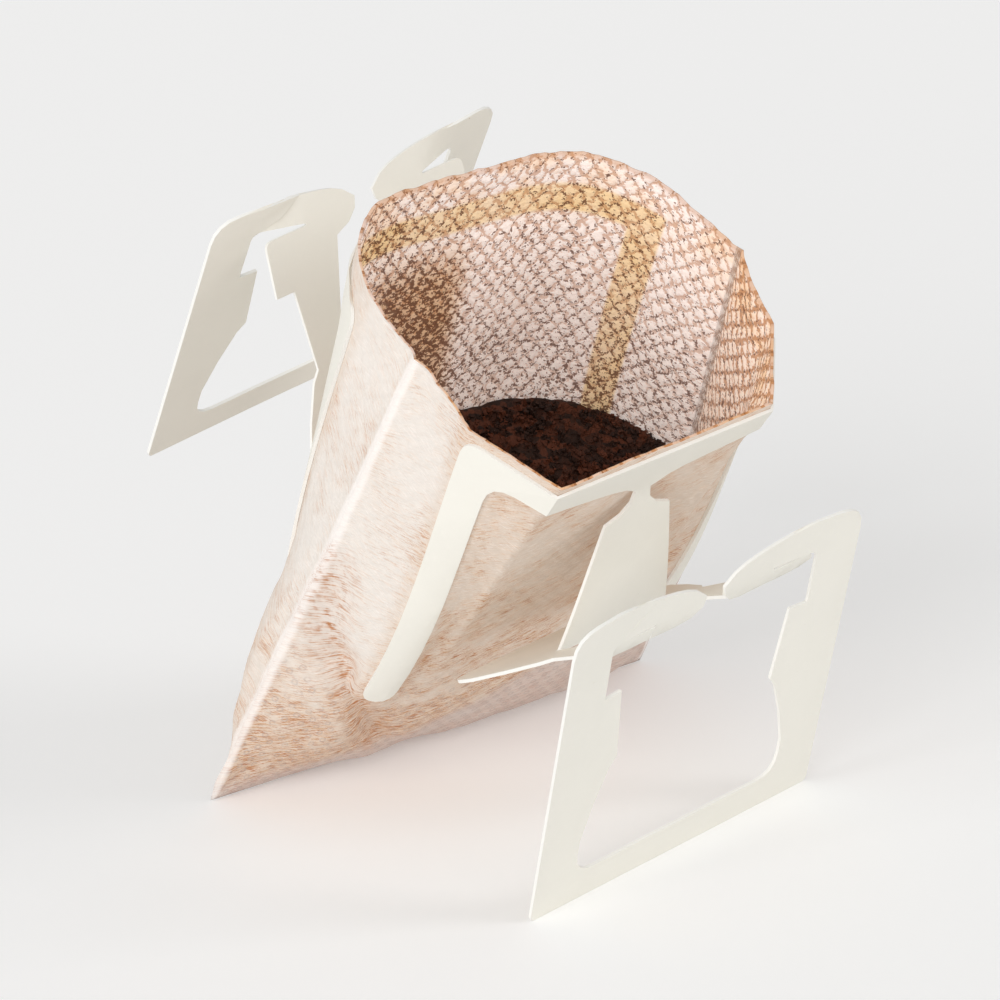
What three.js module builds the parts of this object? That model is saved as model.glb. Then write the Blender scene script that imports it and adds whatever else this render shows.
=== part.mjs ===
// Drip coffee bag, torn open and pulled into shape, resting on a flat surface.
// A flat pouch of filter fabric holds ground coffee. A die-cut card hanger is glued to its front and
// another to its back, and each hanger's ear is pulled out so that it can hook over a cup's wall.
// The opened bag leans forward: its bottom seam and the front ear's lowest edge touch the surface.
// Millimetres, +Z up, the mouth leans towards -Y, origin on the surface under the middle.

import * as THREE from 'three';
import { mergeGeometries, mergeVertices } from 'three/addons/utils/BufferGeometryUtils.js';
import { TessellateModifier } from 'three/addons/modifiers/TessellateModifier.js';

// Pouch, laid flat, after its top strip was torn off
const pouchWidth = 74;
const pouchHeight = 77;
const fabricThickness = 0.4;

// Pouch, pulled into shape: turns in degrees, seen from above the mouth
const mouthDepth = 41.8;
const leanAngle = 33.9;
const leftLegTurn = 67;
const rightLegTurn = 52;
const leftGussetTurn = 92;
const rightGussetTurn = 72;
const seamLength = 59;
const seamTurn = 10.5;
const seamAside = 0.9;
const seamForward = 4.3;
const backRoundLeft = 7.3;
const backRoundRight = 9.5;
const backFlankLeft = 0.7;
const backFlankRight = 2.4;
const frontBulge = 1.8;
const frontLegBulge = 4.8;
const backBulge = 4.2;
const backLegBulge = 3.9;

// Card hanger, laid flat: a band with two legs, a tongue, a panel and a ring cut from one card.
// Halves are measured from the card's middle line, drops from the band's lower edge.
const cardThickness = 0.4;
const bandHeight = 4.0;
const creaseHalf = 14.7;
const ringHalf = 21.8;
const ringHeight = 42.4;
const ringCornerRadius = 3.4;
const ringFootRadius = 0.8;
const ringFootHeight = 4.3;
const ringSideWidth = 6.4;
const legWidth = 4.5;
const legPastRing = 2.4;
const legTopRadius = 2.2;
const legEndRadius = 2.2;
const slitWidth = 0.3;
const neckHalf = 1.05;
const neckDrop = 3.8;
const neckFlare = 0.3;
const neckFlareDrop = 1.7;
const neckSpread = 1.5;
const neckSpreadDrop = 3.0;
const shoulderHalf = 4.6;
const shoulderDrop = 7.7;
const hingeHalf = 8.1;
const hingeDrop = 25.6;
const stripCrease = 8.9;
const stripDrop = 4.9;
const headRadius = 1.0;
const headInset = 0.2;
const headDrop = 12.1;
const shoulderInset = 2.8;
const waistInset = 3.8;
const waistDrop = 22.2;
const waistStep = 1.4;
const flareInset = 1.2;
const flareDrop = 28.2;
const footFlareHeight = 5.0;
const panelFootRadius = 3.0;
const legDrop = ringHeight + legPastRing;
const panelFootHalf = ringHalf - ringSideWidth;
const panelFootDrop = ringHeight - ringFootHeight;
const headHalf = panelFootHalf - headInset;
const shoulderOfFootHalf = panelFootHalf - shoulderInset;
const waistHalf = panelFootHalf - waistInset;
const frontMargin = 1.1;
const backMargin = 4.4;

// Folds of the two ears: leans in degrees from the upright of the bag itself
const frontTongueLean = 9.2;
const backTongueLean = 6.6;
const frontPanelLean = 34.8;
const backPanelLean = 36.5;
const backRingLean = 1.5;
const softBendLength = 3.8;
const twistPivotDrop = 2.45;
const twistHalf = 14.4;
const twistFoot = 6.4;
const ringWing = 0.8;
const frontEarTurn = 3.2;
const backEarTurn = 4.9;
const frontEarAside = 0.8;
const backEarAside = 0;

// Ground coffee: depths below the mouth
const coffeeDepthFront = 36.6;
const coffeeDepthBack = 34.6;
const coffeeMound = 1.2;
const coffeeSideGap = 2.0;
const coffeeFootGap = 5;

// Clearances
const glueGap = 0.3;
const coffeeGap = 0.35;

const { lerp, smoothstep, clamp, degToRad } = THREE.MathUtils;
const pouchHalf = pouchWidth / 2;
const mouthHalf = mouthDepth / 2;
const cardHalf = ringHalf + legWidth;
const slitHalf = slitWidth / 2;
const lean = degToRad(leanAngle);

// Height of a point of the upright bag once the bag leans, over the same origin
function restHeight(point) {
  return point.y * Math.sin(lean) + point.z * Math.cos(lean);
}

// Mouth outline: straight between the front's creases and corners, a smooth curve round the back
function stepFrom(from, side, turn, length) {
  const angle = degToRad(turn);
  return new THREE.Vector2(from.x + side * length * Math.cos(angle), from.y + length * Math.sin(angle));
}

const creaseLeft = new THREE.Vector2(-creaseHalf, -mouthHalf);
const creaseRight = new THREE.Vector2(creaseHalf, -mouthHalf);
const cornerLeft = stepFrom(creaseLeft, -1, leftLegTurn, cardHalf - creaseHalf);
const cornerRight = stepFrom(creaseRight, 1, rightLegTurn, cardHalf - creaseHalf);
const ridgeLeft = stepFrom(cornerLeft, -1, leftGussetTurn, pouchHalf - cardHalf);
const ridgeRight = stepFrom(cornerRight, 1, rightGussetTurn, pouchHalf - cardHalf);

const frontStops = [
  [-pouchHalf, ridgeLeft],
  [-cardHalf, cornerLeft],
  [-creaseHalf, creaseLeft],
  [creaseHalf, creaseRight],
  [cardHalf, cornerRight],
  [pouchHalf, ridgeRight],
];

const backRim = new THREE.SplineCurve([
  ridgeLeft,
  new THREE.Vector2(ridgeLeft.x + backFlankLeft, mouthHalf * 0.55),
  new THREE.Vector2(ridgeLeft.x + backRoundLeft, mouthHalf * 0.98),
  new THREE.Vector2(seamAside, mouthHalf),
  new THREE.Vector2(ridgeRight.x - backRoundRight, mouthHalf * 0.9),
  new THREE.Vector2(ridgeRight.x - backFlankRight, mouthHalf * 0.5),
  ridgeRight,
]);

function frontRimPoint(s) {
  let k = 1;
  while (k < frontStops.length - 1 && s > frontStops[k][0]) k += 1;
  const [startAt, start] = frontStops[k - 1];
  const [endAt, end] = frontStops[k];
  return new THREE.Vector2().lerpVectors(start, end, (s - startAt) / (endAt - startAt));
}

function backRimPoint(s) {
  return backRim.getPointAt(clamp(s / pouchWidth + 0.5, 0, 1));
}

// Bottom seam: level once the bag leans, and turned a little about the upright
const seamDepth = Math.sqrt(pouchHeight ** 2 - (mouthHalf - seamForward) ** 2);

function seamPoint(s) {
  const along = (s / pouchWidth) * seamLength;
  const turn = degToRad(seamTurn);
  return new THREE.Vector3(
    seamAside + along * Math.cos(turn),
    -seamForward - along * Math.sin(turn) * Math.cos(lean),
    -seamDepth + along * Math.sin(turn) * Math.sin(lean),
  );
}

const frontWall = { side: -1, rimPoint: frontRimPoint, bulge: frontBulge, legBulge: frontLegBulge };
const backWall = { side: 1, rimPoint: backRimPoint, bulge: backBulge, legBulge: backLegBulge };

// A wall of the pouch: s is the distance along the rim from its middle, t runs from rim to seam
function wallPoint(wall, s, t) {
  const rim = wall.rimPoint(s);
  const point = new THREE.Vector3(rim.x, rim.y, 0).lerp(seamPoint(s), t);
  const legCentre = cardHalf - legWidth / 2;
  const past = clamp((Math.abs(s) - legCentre) / (pouchHalf - legCentre), 0, 1);
  const bulge = lerp(wall.bulge, wall.legBulge, smoothstep(Math.abs(s), creaseHalf, legCentre));
  const swell = Math.sin(Math.PI * clamp(t, 0, 1) ** 1.2);
  point.y += wall.side * bulge * Math.cos(past * Math.PI / 2) * swell;
  return point;
}

// A point at a distance outside a wall, mitred where the wall has a crease
function outsideWall(wall, s, t, distance, limit = pouchHalf) {
  const step = 0.3;
  const drop = 0.004;
  const normalAt = (place) => {
    const at = clamp(place, -limit + step, limit - step);
    const across = wallPoint(wall, at + step, t).sub(wallPoint(wall, at - step, t));
    const down = wallPoint(wall, at, t + drop).sub(wallPoint(wall, at, t - drop));
    return across.cross(down).multiplyScalar(wall.side).normalize();
  };
  const before = normalAt(s - 2 * step);
  const after = normalAt(s + 2 * step);
  const normal = before.clone().add(after).normalize();
  const mitre = 1 / Math.max(normal.dot(before), 0.5);
  return wallPoint(wall, s, t).addScaledVector(normal, distance * mitre);
}

// A closed mesh whose faces point out
function closedMesh(positions, triangles) {
  const corner = (i) => new THREE.Vector3().fromArray(positions, 3 * triangles[i]);
  let volume = 0;
  for (let i = 0; i < triangles.length; i += 3) {
    volume += corner(i).dot(corner(i + 1).cross(corner(i + 2)));
  }
  if (volume < 0) triangles.reverse();
  const geometry = new THREE.BufferGeometry();
  geometry.setAttribute('position', new THREE.Float32BufferAttribute(positions, 3));
  geometry.setIndex(triangles);
  geometry.computeVertexNormals();
  return geometry;
}

// A closed solid from an open surface: half the thickness goes to each side of it
function thickened(surface, thickness) {
  const merged = mergeVertices(surface, 1e-3);
  merged.computeVertexNormals();
  const points = merged.getAttribute('position');
  const normals = merged.getAttribute('normal');
  const index = merged.index.array;
  const count = points.count;
  const positions = [];
  for (const half of [thickness / 2, -thickness / 2]) {
    for (let i = 0; i < count; i += 1) {
      const point = new THREE.Vector3().fromBufferAttribute(points, i);
      const normal = new THREE.Vector3().fromBufferAttribute(normals, i);
      positions.push(...point.addScaledVector(normal, half).toArray());
    }
  }
  const triangles = [];
  const openEdges = new Map();
  for (let i = 0; i < index.length; i += 3) {
    const [a, b, c] = [index[i], index[i + 1], index[i + 2]];
    if (a === b || b === c || c === a) continue;
    triangles.push(a, b, c, a + count, c + count, b + count);
    for (const [from, to] of [[a, b], [b, c], [c, a]]) {
      if (!openEdges.delete(`${to},${from}`)) openEdges.set(`${from},${to}`, [from, to]);
    }
  }
  for (const [from, to] of openEdges.values()) {
    triangles.push(from, from + count, to, to, from + count, to + count);
  }
  return closedMesh(positions, triangles);
}

function surfaceGeometry(positions) {
  const geometry = new THREE.BufferGeometry();
  geometry.setAttribute('position', new THREE.Float32BufferAttribute(positions, 3));
  return geometry;
}

// Rows of points, all of one length, joined into a surface
function surfaceFromRows(rows) {
  const positions = [];
  for (let r = 0; r + 1 < rows.length; r += 1) {
    for (let c = 0; c + 1 < rows[r].length; c += 1) {
      const [a, b] = [rows[r][c], rows[r][c + 1]];
      const [d, e] = [rows[r + 1][c], rows[r + 1][c + 1]];
      for (const point of [a, d, b, b, d, e]) positions.push(...point.toArray());
    }
  }
  return surfaceGeometry(positions);
}

// Places along the rim, with one at each crease and leg corner
function rimStops(spacing) {
  const stops = [-pouchHalf];
  for (let k = 1; k < frontStops.length; k += 1) {
    const [start, end] = [frontStops[k - 1][0], frontStops[k][0]];
    const pieces = Math.ceil((end - start) / spacing);
    for (let i = 1; i <= pieces; i += 1) stops.push(lerp(start, end, i / pieces));
  }
  return stops;
}

function buildPouch() {
  const stops = rimStops(3.4);
  const rowCount = 20;
  const rows = [];
  for (let r = 0; r <= rowCount; r += 1) {
    const front = stops.map((s) => wallPoint(frontWall, s, r / rowCount));
    const back = stops.map((s) => wallPoint(backWall, s, r / rowCount)).reverse();
    rows.push([...front, ...back.slice(1, -1), front[0].clone()]);
  }
  return thickened(surfaceFromRows(rows), fabricThickness);
}

// Ground coffee: it fills the pouch from just above the seam up to a low mound
function buildCoffee() {
  const inset = fabricThickness / 2 + coffeeGap;
  const sideHalf = pouchHalf - coffeeSideGap;
  const stops = rimStops(4.2).map((s) => s * sideHalf / pouchHalf);
  const crossings = 6;
  const rowCount = 9;
  const bottom = 1 - coffeeFootGap / pouchHeight;
  const middle = (s) => Math.cos((s / sideHalf) * Math.PI / 2);
  const fill = (coffeeDepthFront + coffeeDepthBack) / 2;
  const slope = (coffeeDepthFront - coffeeDepthBack) / 2;
  const layer = (r, mound) => {
    const wallRow = (wall) => stops.map((s) => {
      const top = (fill - wall.side * slope * middle(s)) / seamDepth;
      return outsideWall(wall, s, lerp(top, bottom, r / rowCount), -inset);
    });
    const [front, back] = [wallRow(frontWall), wallRow(backWall)];
    const lines = [];
    for (let k = 0; k <= crossings; k += 1) {
      const rise = mound * Math.sin(Math.PI * k / crossings);
      lines.push(stops.map((s, i) => {
        const point = front[i].clone().lerp(back[i], k / crossings);
        point.z += rise * middle(s);
        return point;
      }));
    }
    return lines;
  };
  const rim = (lines) => {
    const leftEnd = lines.map((line) => line[0]);
    const rightEnd = lines.map((line) => line[line.length - 1]);
    const back = [...lines[crossings]].reverse();
    return [...lines[0], ...rightEnd.slice(1, -1), ...back, ...leftEnd.reverse().slice(1)];
  };
  const rows = [];
  for (let r = 0; r <= rowCount; r += 1) rows.push(rim(layer(r, 0)));
  const top = layer(0, coffeeMound).reverse();
  const foot = layer(rowCount, 0);
  const sheets = [surfaceFromRows(rows), surfaceFromRows(top), surfaceFromRows(foot)];
  const merged = mergeVertices(mergeGeometries(sheets), 1e-3);
  return closedMesh(Array.from(merged.getAttribute('position').array), Array.from(merged.index.array));
}

// A flat panel of the card from its outline, cut into small triangles so that it can bend
function flatPanel(outline, longest) {
  const flat = new THREE.ShapeGeometry(new THREE.Shape(outline), 4);
  flat.deleteAttribute('normal');
  flat.deleteAttribute('uv');
  return new TessellateModifier(longest, 30).modify(flat);
}

// A corner rounded with a radius, as points from the first direction to the second
function roundedCorner(corner, from, to, radius) {
  const start = corner.clone().add(from.clone().sub(corner).setLength(radius));
  const end = corner.clone().add(to.clone().sub(corner).setLength(radius));
  return new THREE.QuadraticBezierCurve(start, corner, end).getPoints(4);
}

// An outline through its corners, each given as [half, drop, radius]
function outlineOf(corners) {
  const at = (i) => {
    const [half, drop] = corners[(i + corners.length) % corners.length];
    return new THREE.Vector2(half, -drop);
  };
  return corners.flatMap(([, , radius = 0], i) => (
    radius > 0 ? roundedCorner(at(i), at(i - 1), at(i + 1), radius) : [at(i)]
  ));
}

function mirrored(outline) {
  return outline.map((point) => new THREE.Vector2(-point.x, point.y)).reverse();
}

// The slit between band and ring: it drops slowly from the crease and turns down at the neck
function slitDrop(half) {
  const share = (creaseHalf - half) / (creaseHalf - neckHalf);
  return neckDrop * (0.53 * share + 0.47 * share ** 8);
}

// Corners of the slit from one half to another, on its upper or its lower side
function slitLine(fromHalf, toHalf, pieces, lower) {
  const corners = [];
  for (let i = 0; i <= pieces; i += 1) {
    const half = lerp(fromHalf, toHalf, i / pieces);
    corners.push([half, slitDrop(half - lower * slitWidth) + lower * slitWidth]);
  }
  return corners;
}

// The slit that runs down beside the tongue, from the neck by the shoulder to the hinge
function tongueSide(aside) {
  return [
    [neckHalf + aside, neckDrop + aside],
    [neckHalf + neckFlare + aside, neckDrop + neckFlareDrop],
    [neckHalf + neckSpread + aside, neckDrop + neckSpreadDrop],
    [shoulderHalf + aside, shoulderDrop],
    [hingeHalf + aside, hingeDrop],
  ];
}

// The slit round the panel, with the ring's hooks: aside is positive on the ring's side of it
function panelSide(aside) {
  return [
    [stripCrease, stripDrop - aside],
    [headHalf + aside, stripDrop - aside, headRadius],
    [headHalf + aside, headDrop + aside],
    [shoulderOfFootHalf + aside, headDrop + aside],
    [waistHalf + aside, waistDrop],
    [shoulderOfFootHalf + aside, waistDrop + waistStep],
    [panelFootHalf - flareInset + aside, flareDrop],
    [panelFootHalf + aside, panelFootDrop - footFlareHeight],
    [panelFootHalf + aside, panelFootDrop + aside, panelFootRadius],
  ];
}

// Outlines of the card's panels; the ones right of the middle have a mirrored partner
const neckCorners = slitLine(creaseHalf, neckHalf, 7, 0);
const bandOutline = outlineOf([
  [-creaseHalf, -bandHeight],
  [creaseHalf, -bandHeight],
  ...neckCorners,
  ...[...neckCorners].reverse().map(([half, drop]) => [-half, drop]),
]);

const legOutline = outlineOf([
  [creaseHalf, -bandHeight],
  [cardHalf, -bandHeight, legTopRadius],
  [cardHalf, legDrop, legEndRadius],
  [ringHalf, legDrop, legEndRadius],
  [ringHalf, 0, ringCornerRadius],
  [creaseHalf, 0],
]);

const tongueRight = tongueSide(0);
const tongueOutline = outlineOf([
  ...tongueRight,
  ...[...tongueRight].reverse().map(([half, drop]) => [-half, drop]),
]);

const panelRight = outlineOf([
  [hingeHalf, hingeDrop],
  ...tongueSide(slitWidth).reverse(),
  ...slitLine(neckHalf + slitWidth, stripCrease, 5, 1).slice(1),
  [stripCrease, stripDrop - slitHalf],
  ...panelSide(-slitHalf),
  [0, panelFootDrop - slitHalf],
]);
const panelOutline = [...panelRight, ...mirrored(panelRight).slice(1)];

const ringOuter = outlineOf([
  [0, ringHeight],
  [ringHalf - slitWidth, ringHeight, ringFootRadius],
  [ringHalf - slitWidth, slitWidth, ringCornerRadius],
  ...slitLine(creaseHalf, stripCrease, 3, 1),
  ...panelSide(slitHalf),
  [0, panelFootDrop + slitHalf],
]);
const ringOutline = [...ringOuter.slice(1, -1), ...mirrored(ringOuter.slice(1, -1))];

// The card's glued part follows a wall; its ear leaves the wall at the neck and folds outwards
function cardPlacing(wall, margin, folds) {
  const out = wall.side;
  const glueDistance = fabricThickness / 2 + glueGap + cardThickness / 2;
  const glued = (half, drop) => {
    const t = (margin + bandHeight + drop) / pouchHeight;
    return outsideWall(wall, half, t, glueDistance, cardHalf);
  };

  // Down and outward, leaning by an angle from the bag's own down
  const downLeaning = (angle) => new THREE.Vector3(0, out * Math.sin(angle), -Math.cos(angle));
  const tongueDown = downLeaning(degToRad(folds.tongueLean));
  const panelAngle = -degToRad(folds.panelLean);
  const panelDown = downLeaning(panelAngle);
  const neck = glued(0, neckDrop);
  const turnAxis = new THREE.Vector3(0, Math.sin(folds.axisLean), Math.cos(folds.axisLean));

  const turned = (point, share) => {
    point.sub(neck).applyAxisAngle(turnAxis, degToRad(folds.turn) * share).add(neck);
    point.x += folds.aside * share;
    return point;
  };
  const tongueLine = (half, drop) => {
    const inside = clamp(half, -neckHalf, neckHalf);
    const start = glued(inside, neckDrop);
    start.x += half - inside;
    return start.addScaledVector(tongueDown, drop - neckDrop);
  };
  const tongue = (half, drop) => {
    const share = (drop - neckDrop) / (hingeDrop - neckDrop);
    return turned(tongueLine(half, drop), smoothstep(share, 0, 1));
  };

  // The soft bend across the panel's two columns, where the ring's plane begins above them
  const bent = (half, drop, ringAngle) => {
    const bendFoot = stripDrop + softBendLength;
    const point = tongueLine(half, hingeDrop);
    point.addScaledVector(panelDown, Math.max(drop, bendFoot) - hingeDrop);
    const pieces = 12;
    const length = clamp(bendFoot - drop, 0, softBendLength);
    for (let i = 0; i < pieces; i += 1) {
      const share = (i + 0.5) / pieces * length / softBendLength;
      const angle = lerp(panelAngle, ringAngle, share);
      point.addScaledVector(downLeaning(angle), -length / pieces);
    }
    return point.addScaledVector(downLeaning(ringAngle), Math.min(drop - stripDrop, 0));
  };

  // The ring hangs from the strips above the panel's columns
  const ringBase = (half, drop, ringAngle) => {
    if (folds.softBend) {
      const top = bent(half, stripDrop, ringAngle);
      return top.addScaledVector(downLeaning(ringAngle), drop - stripDrop);
    }
    const twist = drop > twistFoot ? 1 : smoothstep(Math.abs(half), stripCrease, twistHalf);
    const direction = downLeaning(lerp(panelAngle, ringAngle, twist));
    const pivot = tongueLine(half, hingeDrop).addScaledVector(panelDown, twistPivotDrop - hingeDrop);
    return pivot.addScaledVector(direction, drop - twistPivotDrop);
  };
  const ringAngle = folds.ringAngle(ringBase);

  const ring = (half, drop) => {
    const point = ringBase(half, drop, ringAngle);
    const wing = smoothstep(Math.abs(half), stripCrease, ringHalf) * (1 - drop / ringHeight);
    point.addScaledVector(new THREE.Vector3(0, out, 0), ringWing * wing);
    return turned(point, 1);
  };
  const panel = (half, drop) => {
    if (folds.softBend) return turned(bent(half, drop, ringAngle), 1);
    const point = tongueLine(half, hingeDrop).addScaledVector(panelDown, drop - hingeDrop);
    return turned(point, 1);
  };
  return { glued, tongue, panel, ring };
}

function placedPanel(outline, longest, place) {
  const points = flatPanel(outline, longest).getAttribute('position');
  const positions = [];
  for (let i = 0; i < points.count; i += 1) {
    positions.push(...place(points.getX(i), -points.getY(i)).toArray());
  }
  return surfaceGeometry(positions);
}

function buildHanger(wall, margin, folds) {
  const place = cardPlacing(wall, margin, folds);
  const sheets = [
    placedPanel(bandOutline, 4.1, place.glued),
    placedPanel(legOutline, 5, place.glued),
    placedPanel(mirrored(legOutline), 5, place.glued),
    placedPanel(tongueOutline, 3.6, place.tongue),
    placedPanel(panelOutline, 3.6, place.panel),
    placedPanel(ringOutline, 7, place.ring),
  ];
  return thickened(mergeGeometries(sheets), cardThickness);
}

// The front ring's lean that lets its lowest edge touch the surface under the seam
function restingAngle(floorHeight, ringBase) {
  let [low, high] = [-lean, lean];
  for (let i = 0; i < 40; i += 1) {
    const angle = (low + high) / 2;
    const edge = cardThickness / 2 * Math.sin(Math.abs(lean - angle));
    const height = restHeight(ringBase(0, ringHeight, angle)) - edge;
    if (height > floorHeight) low = angle;
    else high = angle;
  }
  return (low + high) / 2;
}

function lowestRestHeight(geometry) {
  const points = geometry.getAttribute('position');
  let lowest = Infinity;
  for (let i = 0; i < points.count; i += 1) {
    lowest = Math.min(lowest, restHeight(new THREE.Vector3().fromBufferAttribute(points, i)));
  }
  return lowest;
}

const pouchGeometry = buildPouch();
const floorHeight = lowestRestHeight(pouchGeometry);

const frontFolds = {
  tongueLean: frontTongueLean,
  panelLean: frontPanelLean,
  softBend: true,
  turn: frontEarTurn,
  aside: frontEarAside,
  axisLean: lean,
  ringAngle: (ringBase) => restingAngle(floorHeight, ringBase),
};
const backFolds = {
  tongueLean: backTongueLean,
  panelLean: backPanelLean,
  softBend: false,
  turn: backEarTurn,
  aside: backEarAside,
  axisLean: 0,
  ringAngle: () => degToRad(backRingLean),
};

function piece(name, geometry, color, roughness) {
  const material = new THREE.MeshStandardMaterial({ color, roughness, metalness: 0 });
  const mesh = new THREE.Mesh(geometry, material);
  mesh.name = name;
  return mesh;
}

// The upright bag leans forward about the left-right axis and stands on the surface
const bag = new THREE.Group();
bag.add(piece('filter_pouch', pouchGeometry, 0xe6dcd6, 0.95));
bag.add(piece('ground_coffee', buildCoffee(), 0x2a1710, 1.0));
bag.add(piece('front_hanger', buildHanger(frontWall, frontMargin, frontFolds), 0xefeae0, 0.75));
bag.add(piece('back_hanger', buildHanger(backWall, backMargin, backFolds), 0xefeae0, 0.75));
bag.rotation.x = lean;

const dripCoffeeBag = new THREE.Group();
dripCoffeeBag.add(bag);
dripCoffeeBag.updateMatrixWorld(true);
const box = new THREE.Box3().setFromObject(bag, true);
bag.position.set(-(box.min.x + box.max.x) / 2, -(box.min.y + box.max.y) / 2, -box.min.z);

export default dripCoffeeBag;
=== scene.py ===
import math
import random

import bmesh
import bpy
import numpy as np
from bpy.props import FloatProperty, FloatVectorProperty, IntProperty, PointerProperty
from mathutils import Euler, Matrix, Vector, noise
from mathutils.bvhtree import BVHTree


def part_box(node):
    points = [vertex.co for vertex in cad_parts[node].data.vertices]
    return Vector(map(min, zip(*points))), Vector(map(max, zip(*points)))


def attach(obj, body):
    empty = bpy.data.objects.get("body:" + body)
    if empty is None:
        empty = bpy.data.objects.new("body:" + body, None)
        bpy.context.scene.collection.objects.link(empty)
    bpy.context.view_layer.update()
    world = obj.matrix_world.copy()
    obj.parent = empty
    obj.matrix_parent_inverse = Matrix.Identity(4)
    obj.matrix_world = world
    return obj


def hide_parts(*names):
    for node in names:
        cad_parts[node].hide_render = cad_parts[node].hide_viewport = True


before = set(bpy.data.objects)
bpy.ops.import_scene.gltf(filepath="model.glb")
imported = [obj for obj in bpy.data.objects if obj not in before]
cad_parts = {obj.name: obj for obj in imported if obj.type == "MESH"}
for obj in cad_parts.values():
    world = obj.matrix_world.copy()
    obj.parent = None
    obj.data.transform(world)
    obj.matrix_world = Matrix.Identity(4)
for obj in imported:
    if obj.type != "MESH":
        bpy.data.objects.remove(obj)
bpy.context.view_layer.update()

bl_info = {
    "name": "Drip Coffee Bag",
    "version": (1, 0, 0),
    "blender": (4, 5, 0),
    "location": "View3D > Sidebar > Drip Bag",
    "description": "Builds the fabric, the cards and the coffee of an opened drip coffee bag",
    "category": "Object",
}

MM = 0.001

# The pouch laid flat and pulled into shape, in millimetres and degrees
POUCH_WIDTH = 74.0
POUCH_HEIGHT = 77.0
MOUTH_DEPTH = 41.8
LEAN = 33.9
CREASE_HALF = 14.7
CARD_HALF = 26.3
LEG_WIDTH = 4.5
LEG_TURNS = (67.0, 52.0)
GUSSET_TURNS = (92.0, 72.0)
SEAM_LENGTH = 59.0
SEAM_TURN = 10.5
SEAM_ASIDE = 0.9
SEAM_FORWARD = 4.3
BULGES = {-1: (1.8, 4.8), 1: (4.2, 3.9)}
BACK_FLANKS = (0.7, 2.4)
BACK_ROUNDS = (7.3, 9.5)

# Where the cards are glued: the band's top and lower edge and the legs' end, as drops from the rim
GLUED = {-1: (1.1, 5.1, 49.9), 1: (4.4, 8.4, 53.2)}

# The coffee below the rim, and its clearance from the fabric
COFFEE_DROPS = {-1: 36.6, 1: 34.6}
COFFEE_INSET = 0.5
COFFEE_SIDE_GAP = 2.0
COFFEE_FOOT_GAP = 5.0
COFFEE_MOUND = 1.2
COFFEE_SPACING = 0.8
COFFEE_WALL = 37.0
COFFEE_ACROSS = 30.0
COFFEE_SEED = 11

# How far the cloth under a glued card stands out to meet it
GLUE_GAP = 0.32

# The ridge along the side seams, and the places where the two shells of the bottom fold meet, in metres
SEAM_RIDGE = 0.34
SEAM_RIDGE_WIDTH = 0.7
FOLD_OUTSIDE = 0.00005
FOLD_INSIDE = -0.0003

# The swelling low on the back wall: its flat place, its reach each way and its height
BACK_SWELL_PLACE = (-32.0, 57.0)
BACK_SWELL_REACH = (7.5, 17.0)
BACK_SWELL = 2.3

# A card face with card behind it nearer than this is a broad one, and a turn sharper than this is a cut
CARD_LIMIT = 0.0006
SHARP_TURN = 38.0

# The stage
FLOOR_HALF = 3.0
KEY_FROM = (0.58, -0.80, 0.42)
FILL_FROM = (-0.90, -0.32, 0.34)
LOW_FROM = (0.42, -0.90, 0.05)
KEY_SPREAD, FILL_SPREAD, LOW_SPREAD = 20.0, 60.0, 40.0
SKY_COLOUR = (1.0, 0.995, 0.985, 1.0)
CAMERA_PLACE = (-0.2656, -0.38824, 0.23691)
CAMERA_TURN = (66.718, 6.550, -37.321)

FRONT, BACK = -1, 1
POUCH_HALF = POUCH_WIDTH / 2
MOUTH_HALF = MOUTH_DEPTH / 2


# Flat cloth to space

def smooth(x, low, high):
    """0 below low, 1 above high, with a soft step between."""
    x = np.clip((x - low) / (high - low), 0.0, 1.0)
    return x * x * (3.0 - 2.0 * x)


def stepped(start, side, turn, length):
    """The point a length away from start, turned in degrees from the left-right line."""
    angle = math.radians(turn)
    return np.array([start[0] + side * length * math.cos(angle), start[1] + length * math.sin(angle)])


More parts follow.
